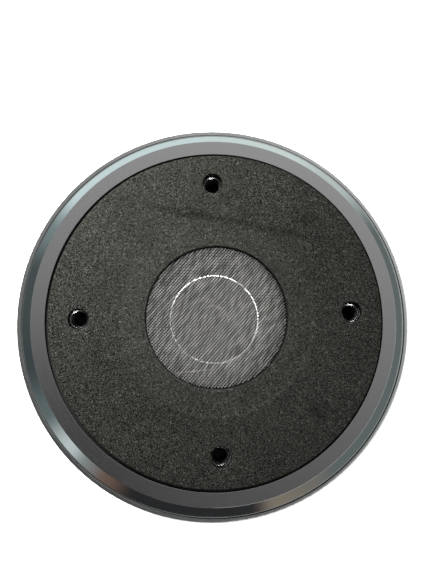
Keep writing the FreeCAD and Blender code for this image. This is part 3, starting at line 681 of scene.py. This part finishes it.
def build_gasket():
    """The foam gasket, turned a little on its bolt circle."""
    centre = Vector(GASKET_SHIFT)
    rims = [
        Rim(centre, GASKET_HIGH.x - GASKET_GAP, 1, GASKET_OUTER_POINTS),
        Rim(Vector(BORE_SHIFT), GASKET_BORE_R, -1, GASKET_BORE_POINTS),
    ]
    for quarter in range(4):
        angle = quarter * math.pi / 2 + GASKET_TWIST
        spot = centre + BOLT_CIRCLE_R * Vector((math.cos(angle), math.sin(angle)))
        rims.append(Rim(spot, GASKET_BOLT_R, -1, GASKET_BOLT_POINTS))
    low, high = GASKET_LOW.z + SHEET_LIFT, GASKET_HIGH.z - GASKET_WAVE
    gasket = soft_sheet(
        "foam_gasket", rims, low, high, GASKET_EDGE_R, GASKET_GRID, GASKET_WAVE, foam_material()
    )
    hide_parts("front_gasket")
    return gasket


def build_felt_pad():
    """The felt pad on the rear cover's floor."""
    rims = [Rim(Vector((0, 0)), PAD_HIGH.x - PAD_GAP, 1, PAD_POINTS)]
    low, high = PAD_LOW.z + SHEET_LIFT, PAD_HIGH.z - PAD_DROP
    pad = soft_sheet("felt_pad", rims, low, high, PAD_EDGE_R, PAD_GRID, PAD_WAVE, felt_material())
    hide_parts("damping_pad")
    return pad


# ---- surround wedges, strips and springs ---------------------------------------------------------
def wedge_of(node, middle, half_angle):
    """A copy of a CAD node's mesh between two planes through the Z axis, closed where it is cut."""
    work = bmesh.new()
    work.from_mesh(NODES[node].data)
    bmesh.ops.remove_doubles(work, verts=work.verts[:], dist=0.001 * MM)
    for side in (-1, 1):
        a = middle + side * half_angle
        normal = side * Vector((-math.sin(a), math.cos(a), 0))
        whole = work.verts[:] + work.edges[:] + work.faces[:]
        cut = bmesh.ops.bisect_plane(work, geom=whole, dist=1e-7, plane_no=normal, clear_outer=True)
        edges = [part for part in cut["geom_cut"] if isinstance(part, bmesh.types.BMEdge)]
        if edges:
            bmesh.ops.edgenet_fill(work, edges=edges)
    mesh = bpy.data.meshes.new(node + "_wedge")
    work.to_mesh(mesh)
    work.free()
    return mesh


def hang(name, mesh, material):
    """A flat-shaded piece from a mesh cut at an angle round Z, from a part between the motor and the
    diaphragm.
    """
    mesh.materials.clear()
    mesh.materials.append(material)
    mesh.shade_flat()
    piece = bpy.data.objects.new(name, mesh)
    bpy.context.scene.collection.objects.link(piece)
    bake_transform(piece)
    return piece


def build_hangers():
    """The diaphragm's surround, in wedges cut round the Z axis, and the strips, cut as one wider wedge."""
    wedges = round(math.pi / WEDGE_HALF)
    for k in range(wedges):
        middle = 2 * math.pi * k / wedges
        mesh = wedge_of("diaphragm_surround", middle, WEDGE_HALF)
        wedge = hang(f"surround_wedge_{k + 1:02d}", mesh, FILM)
        if k == 0:
            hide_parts("diaphragm_surround")
    front = -math.pi / 2
    mesh = wedge_of("lead_out_strips", front, 2 * WEDGE_HALF)
    strips = hang("bent_lead_out_strips", mesh, COPPER)
    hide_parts("lead_out_strips")


def build_spring(color):
    """A terminal's coil spring with closed ends."""
    node = "terminal_spring_" + color
    low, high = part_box(node)
    middle = (low + high) / 2
    coil_r = (high.x - low.x) / 2 - SPRING_WIRE_R
    rise = high.y - low.y - 2 * SPRING_WIRE_R
    steps = SPRING_TURNS * SPRING_STEPS
    dead_rise = SPRING_DEAD * SPRING_TURNS * 2 * SPRING_WIRE_R / rise
    verts = []
    for k in range(steps + 1):
        t = k / steps
        if t < SPRING_DEAD:
            share = dead_rise * t / SPRING_DEAD
        elif t > 1 - SPRING_DEAD:
            share = 1 - dead_rise * (1 - t) / SPRING_DEAD
        else:
            share = dead_rise + (1 - 2 * dead_rise) * (t - SPRING_DEAD) / (1 - 2 * SPRING_DEAD)
        turn = 2 * math.pi * k / SPRING_STEPS
        out = Vector((math.cos(turn), 0, math.sin(turn)))
        centre = Vector((middle.x, low.y + SPRING_WIRE_R + rise * share, middle.z)) + coil_r * out
        for i in range(SPRING_SIDES):
            a = 2 * math.pi * i / SPRING_SIDES
            verts.append(centre + SPRING_WIRE_R * (math.cos(a) * out + Vector((0, math.sin(a), 0))))
    faces = tube_faces(0, steps + 1, SPRING_SIDES)
    spring = new_piece("coil_spring_" + color, verts, faces, NICKEL)
    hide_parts(node)
    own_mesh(spring)
    return spring


# ---- woven screen --------------------------------------------------------------------------------
def weave_shift(point):
    """How far the cloth's wires wander sideways at a point."""
    sample = Vector((point.x, point.y, 0)) / WANDER_SIZE
    return WANDER * noise.noise_vector(sample)


def screen_height(point):
    """How far the crease across the screen's lower part lifts it at a point."""
    off = (point.y - CREASE_Y + CREASE_SLOPE * point.x) / CREASE_HALF_WIDTH
    fade = max(0.0, 1.0 - abs(point.x - CREASE_X) / CREASE_HALF_LENGTH)
    return CREASE_RISE * math.exp(-(off**2)) * fade


def weave(name, angle, pitch, crossing, lift, material):
    """One set of wires, a pitch apart, over and under the other set at each crossing in turn."""
    along = Vector((math.cos(angle), math.sin(angle), 0))
    across = Vector((-along.y, along.x, 0))
    up = Vector((0, 0, 1))
    reach = SCREEN_HIGH.x - SCREEN_GAP
    middle_z = (SCREEN_LOW.z + SCREEN_HIGH.z) / 2
    step = crossing / STEPS_PER_CROSSING
    corners = [2 * math.pi * k / WIRE_SIDES for k in range(WIRE_SIDES)]
    verts = []
    faces = []
    count = int(reach / pitch)
    for wire in range(-count, count + 1):
        offset = wire * pitch
        half = int(math.sqrt(reach**2 - offset**2) / step)
        sign = lift if wire % 2 else -lift
        start = len(verts)
        for k in range(-half, half + 1):
            wave = sign * WIRE_R * math.cos(math.pi * k / STEPS_PER_CROSSING)
            flat = along * (k * step) + across * offset
            centre = flat + weave_shift(flat)
            centre.z = middle_z + wave + screen_height(flat)
            for a in corners:
                verts.append(centre + WIRE_R * (math.cos(a) * across + math.sin(a) * up))
        faces += tube_faces(start, 2 * half + 1, WIRE_SIDES)
    return new_piece(name, verts, faces, material)


def build_screen():
    """Two sets of wires woven through each other, and a strand that has come loose."""
    noise.seed_set(WANDER_SEED)
    # warp and weft are the same wire: the weft's darker colours are painted shade, the warp's the lit copy
    bright = wire_material("warp_wire", (0.45, 0.45, 0.43), (1.0, 1.0, 0.97))
    dull_and_shaded = wire_material("weft_wire_shaded", (0.22, 0.22, 0.21), (0.7, 0.7, 0.68))
    warp = weave("screen_warp", WARP_ANGLE, WARP_PITCH, WEFT_PITCH, 1.0, bright)
    weft = weave("screen_weft", WEFT_ANGLE, WEFT_PITCH, WARP_PITCH, -1.0, dull_and_shaded)
    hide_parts("throat_screen")
    return warp, weft, stray_strand(bright)


def stray_strand(material):
    """A loose strand that lies across the lower part of the screen."""
    route = [Vector((x * MM, y * MM, 0)) for x, y in STRAND_ROUTE_MM]
    middle_z = SCREEN_HIGH.z + STRAND_RISE
    verts = []
    for k, centre in enumerate(route):
        before, after = route[max(k - 1, 0)], route[min(k + 1, len(route) - 1)]
        along = (after - before).normalized()
        across = Vector((-along.y, along.x, 0))
        for i in range(WIRE_SIDES):
            a = 2 * math.pi * i / WIRE_SIDES
            rim = math.cos(a) * across + Vector((0, 0, math.sin(a)))
            verts.append(centre + Vector((0, 0, middle_z)) + STRAND_R * rim)
    faces = tube_faces(0, len(route), WIRE_SIDES)
    return new_piece("screen_stray_strand", verts, faces, material)


# ---- bolt holes ----------------------------------------------------------------------------------
def bolt_spots():
    """The centres of the four bolt holes."""
    angles = [quarter * math.pi / 2 for quarter in range(4)]
    return [BOLT_CIRCLE_R * Vector((math.cos(a), math.sin(a), 0)) for a in angles]


def build_threads(material):
    """A V thread in each of the four bolt holes, as one helical ridge per hole."""
    low = PLATE_BACK_Z + THREAD_BACK_GAP
    steps = int((THREAD_TOP_Z - low) / THREAD_PITCH * THREAD_STEPS)
    # the ridge's section: its radius, and its height as a share of the pitch
    root, crest = THREAD_ROOT_R, THREAD_CREST_R
    profile = [(root, -0.45), (crest, -0.07), (crest, 0.07), (root, 0.45)]
    verts = []
    faces = []
    for centre in bolt_spots():
        start = len(verts)
        for k in range(steps + 1):
            turn = 2 * math.pi * k / THREAD_STEPS
            z = low + THREAD_PITCH * k / THREAD_STEPS
            runout = min(1.0, (k + 1) / THREAD_STEPS, (steps - k + 1) / THREAD_STEPS)
            for radius, rise in profile:
                r = root + (radius - root) * runout
                out = Vector((r * math.cos(turn), r * math.sin(turn), z + rise * THREAD_PITCH))
                verts.append(centre + out)
        faces += tube_faces(start, steps + 1, len(profile))
    return new_piece("bolt_threads", verts, faces, material, smooth=False)


def build_countersinks():
    """The bright countersink at the top of each bolt hole."""
    look = Look("bare_countersink", (0.9, 0.9, 0.88), 0.24, 1.0)
    look.bump(look.noise(0.5 * MM), 0.01 * MM)
    profile = [(SINK_INNER_R, SINK_BOTTOM_Z), (SINK_OUTER_R, SINK_TOP_Z), (SINK_OUTER_R, SINK_BOTTOM_Z)]
    verts = []
    faces = []
    for centre in bolt_spots():
        start = len(verts)
        for i in range(SINK_POINTS):
            turn = 2 * math.pi * i / SINK_POINTS
            verts += [centre + Vector((r * math.cos(turn), r * math.sin(turn), z)) for r, z in profile]
        for i in range(SINK_POINTS):
            here, there = start + 3 * i, start + 3 * ((i + 1) % SINK_POINTS)
            for k in range(3):
                j = (k + 1) % 3
                faces.append((here + k, here + j, there + j, there + k))
    piece = new_piece("bolt_countersinks", verts, faces, look.material)
    piece.data.set_sharp_from_angle(angle=math.radians(30))
    return piece


# ---- studio --------------------------------------------------------------------------------------
def build_floor():
    """A pale floor just under the part. It can't be seen from below."""
    half, z = FLOOR_HALF, REAR_Z - FLOOR_GAP
    corners = [(-half, -half, z), (half, -half, z), (half, half, z), (-half, half, z)]
    mesh = bpy.data.meshes.new("floor")
    mesh.from_pydata(corners, [], [(0, 1, 2, 3)])
    look = Look("floor", (0.5, 0.5, 0.5), 1.0, Specular_IOR_Level=0.0)
    look.feed(look.shader, "Emission Color", (1.0, 1.0, 1.0, 1.0))
    look.feed(look.shader, "Emission Strength", 0.92)
    under = look.make("NewGeometry", {}, "Backfacing")
    look.feed(look.shader, "Alpha", look.math("SUBTRACT", 1.0, under))
    mesh.materials.append(look.material)
    floor = bpy.data.objects.new("floor", mesh)
    bpy.context.scene.collection.objects.link(floor)
    floor.visible_glossy = False


def area_light(name, place, size, watts, lit=(), shaded_by=()):
    """A soft square lamp aimed at the origin. Where lit pieces are named it lights only them, and it
    glints in them. Where pieces are named in shaded_by, only those cast a shadow in its light."""
    data = bpy.data.lights.new(name, "AREA")
    data.energy = watts
    data.size = size
    lamp = bpy.data.objects.new(name, data)
    lamp.location = place
    lamp.rotation_euler = Vector(place).to_track_quat("Z", "Y").to_euler()
    lamp.visible_glossy = bool(lit)
    bpy.context.scene.collection.objects.link(lamp)
    if lit:
        lamp.light_linking.receiver_collection = group_of(name + "_lit", lit)
    if shaded_by:
        lamp.light_linking.blocker_collection = group_of(name + "_shaded_by", shaded_by)


def group_of(name, pieces):
    """A collection of those pieces, for a lamp's light linking."""
    group = bpy.data.collections.new(name)
    for piece in pieces:
        group.objects.link(piece)
    return group


def around(azimuth, elevation, distance):
    """A place in that direction from the origin; degrees and metres."""
    a, e = math.radians(azimuth), math.radians(elevation)
    return Vector((math.cos(a) * math.cos(e), math.sin(a) * math.cos(e), math.sin(e))) * distance


class Sky(Look):
    """The room round the part, as the world's light: what its metal reflects."""

    def __init__(self):
        world = bpy.data.worlds.new("studio")
        bpy.context.scene.world = world
        world.use_nodes = True
        self.tree = world.node_tree
        self.background = self.tree.nodes["Background"]

    def ring(self, angle, stops):
        """A colour for each direction round the horizon. stops are (degrees from +X, colour)."""
        ramp = self.tree.nodes.new("ShaderNodeValToRGB")
        ramp.color_ramp.interpolation = "EASE"
        marks = ramp.color_ramp.elements
        while len(marks) < len(stops):
            marks.new(0.5)
        for mark, (degrees, color) in zip(marks, stops):
            mark.position = degrees / 360
            mark.color = (*color, 1.0)
        self.feed(ramp, 0, angle)
        return ramp.outputs[0]

    def near(self, direction, centre, degrees):
        """1 towards a direction, falling off softly over that many degrees."""
        aim = Vector(centre).normalized()
        dot = self.make("VectorMath", {0: direction, 1: tuple(aim)}, 1, operation="DOT_PRODUCT")
        edge = math.cos(math.radians(degrees))
        inputs = {"Value": dot, "From Min": edge, "From Max": 1.0}
        return self.make("MapRange", inputs, interpolation_type="SMOOTHSTEP")


def build_world():
    """Three bands of room, low, level and overhead. The camera itself sees plain white."""
    sky = Sky()
    direction = sky.make("TexCoord", {}, "Generated")
    x, y, z = sky.split(direction)
    turn = sky.math("DIVIDE", sky.math("ARCTAN2", y, x), 2 * math.pi)
    turn = sky.math("FRACT", sky.math("ADD", turn, 1.0))

    # low down: what the polished bevel reflects
    slate = (0.16, 0.185, 0.185)
    pale = (0.84, 0.98, 0.98)
    dark = (0.03, 0.03, 0.032)
    low = sky.ring(turn, [
        (0, slate), (28, slate), (48, (0.66, 0.74, 0.72)), (66, (0.85, 0.95, 0.92)), (100, pale),
        (132, pale), (146, (0.26, 0.32, 0.32)), (160, (0.09, 0.11, 0.11)), (190, (0.07, 0.085, 0.09)),
        (206, (0.16, 0.2, 0.2)), (219, (0.75, 0.82, 0.82)), (226, (0.3, 0.32, 0.32)),
        (234, (0.2, 0.13, 0.1)), (244, dark), (282, dark), (290, (0.3, 0.25, 0.2)),
        (302, (0.24, 0.22, 0.19)), (312, slate), (360, slate),
    ])
    # level with the part: what the cover's edge reflects
    greys = [
        (0, 0.75), (30, 0.6), (60, 0.36), (90, 0.3), (118, 0.2), (130, 0.1), (145, 0.25), (172, 0.4),
        (186, 0.6), (206, 0.6), (222, 0.1), (240, 0.1), (258, 0.6), (280, 0.8), (300, 0.85), (330, 0.85),
        (360, 0.75),
    ]
    level = sky.ring(turn, [(degrees, (tone, tone, tone)) for degrees, tone in greys])
    # overhead: bright towards +Y, dim towards -Y, with a dim patch
    bright = sky.math("ADD", sky.math("MULTIPLY", y, 0.55), sky.math("MULTIPLY", x, 0.1))
    bright = sky.math("MAXIMUM", sky.math("ADD", bright, 0.27), 0.06)
    shade = sky.math("MULTIPLY", sky.near(direction, (-0.25, -0.17, 0.95), 15), 0.75)
    bright = sky.math("MULTIPLY", bright, sky.math("SUBTRACT", 1.0, shade))
    high = sky.make("CombineColor", {0: bright, 1: bright, 2: bright})
    room = sky.blend(sky.span(z, -0.3, -0.12), low, level)
    room = sky.blend(sky.span(z, 0.25, 0.6), room, high)
    seen = sky.make("LightPath", {}, "Is Camera Ray")
    sky.feed(sky.background, "Color", sky.blend(seen, room, (1.0, 1.0, 1.0)))


def place_camera():
    """Almost straight above the front face, turned and shifted a little to the photograph's angle."""
    turn = Matrix.Rotation(CAMERA_ROLL, 4, "Z") @ Matrix.Rotation(CAMERA_TILT, 4, "X")
    turn = turn @ Matrix.Rotation(CAMERA_TURN, 4, "Y")
    data = bpy.data.cameras.new("camera")
    data.lens = CAMERA_LENS_MM
    data.sensor_width = SENSOR_MM
    data.clip_start = 0.01
    camera = bpy.data.objects.new("camera", data)
    front = Vector((0, 0, GASKET_HIGH.z))
    place = front + turn @ Vector((CAMERA_SIDE, CAMERA_RISE, CAMERA_DISTANCE))
    camera.matrix_world = Matrix.Translation(place) @ turn
    bpy.context.scene.collection.objects.link(camera)
    bpy.context.scene.camera = camera


# ---- the scene -----------------------------------------------------------------------------------
bpy.context.scene.view_settings.view_transform = "Standard"
place_camera()
build_world()
build_floor()
area_light("key", (-0.13, 0.145, 0.12), 0.1, 4.3)
area_light("fill", (0.3, -0.25, 0.45), 0.4, 0.5)

PLATED = plate_material()
STEEL = steel_material()
COPPER = copper_material()
FILM = film_material()
BRASS = brass_material("brass", (0.83, 0.6, 0.26))
NICKEL = brass_material("plated_post", (0.78, 0.75, 0.68))
OXIDE = oxide_material()
MOULDED = plastic_material("moulded_ring", (0.03, 0.03, 0.032), 0.5)
BLACK = plastic_material("terminal_black", (0.018, 0.018, 0.02))
RED = plastic_material("terminal_red", (0.5, 0.014, 0.012))

dress(PLATED, "front_plate", "top_plate")
dress(STEEL, "pole_piece", "alignment_pins")
dress(cover_material(), "magnet_cover")
dress(plug_material(), "phase_plug_body")
dress(MOULDED, "phase_plug_outer_ring", "phase_plug_inner_ring", "phase_plug_bullet")
dress(COPPER, "copper_cap", "lead_out_strips")
dress(ferrite_material(), "magnet_ring")
dress(titanium_material(), "diaphragm_dome")
dress(FILM, "coil_former", "diaphragm_surround")
dress(winding_material(), "voice_coil")
dress(MOULDED, "diaphragm_frame_ring", "diaphragm_clamp_ring")
dress(OXIDE, "diaphragm_screws", "cover_screws")
dress(BRASS, "contact_tabs", "terminal_nuts")
dress(cast_material(), "rear_cover")
dress(plastic_material("seal_rubber", (0.03, 0.03, 0.03), 0.8), "cover_seal")
dress(badge_material(), "rear_badge")
dress(BLACK, "terminal_base_red", "terminal_base_black", "terminal_button_black")
dress(RED, "terminal_button_red")
dress(NICKEL, "terminal_post_red", "terminal_post_black", "terminal_spring_red", "terminal_spring_black")
dress(plastic_material("lead_red", (0.5, 0.03, 0.02), 0.45), "lead_wire_red")
dress(plastic_material("lead_black", (0.02, 0.02, 0.02), 0.45), "lead_wire_black")

build_gasket()
build_felt_pad()
build_hangers()
build_spring("red")
build_spring("black")
SCREEN = build_screen()
build_threads(thread_material())
SINKS = (build_countersinks(),)
area_light("throat_lamp", (0.05, 0.11, 0.55), 0.15, 1.0, lit=(NODES["phase_plug_body"],))
area_light("overhead", (0.0, 0.1, 0.55), 0.3, 1.2, lit=SCREEN)
area_light("window", around(-44, 22, 0.6), 0.3, 2.6, lit=SCREEN)
area_light("glint_below", around(284, 13, 0.5), 0.14, 2.2, lit=SINKS, shaded_by=SINKS)
area_light("glint_above", around(97, 3, 0.5), 0.16, 2.2, lit=SINKS, shaded_by=SINKS)
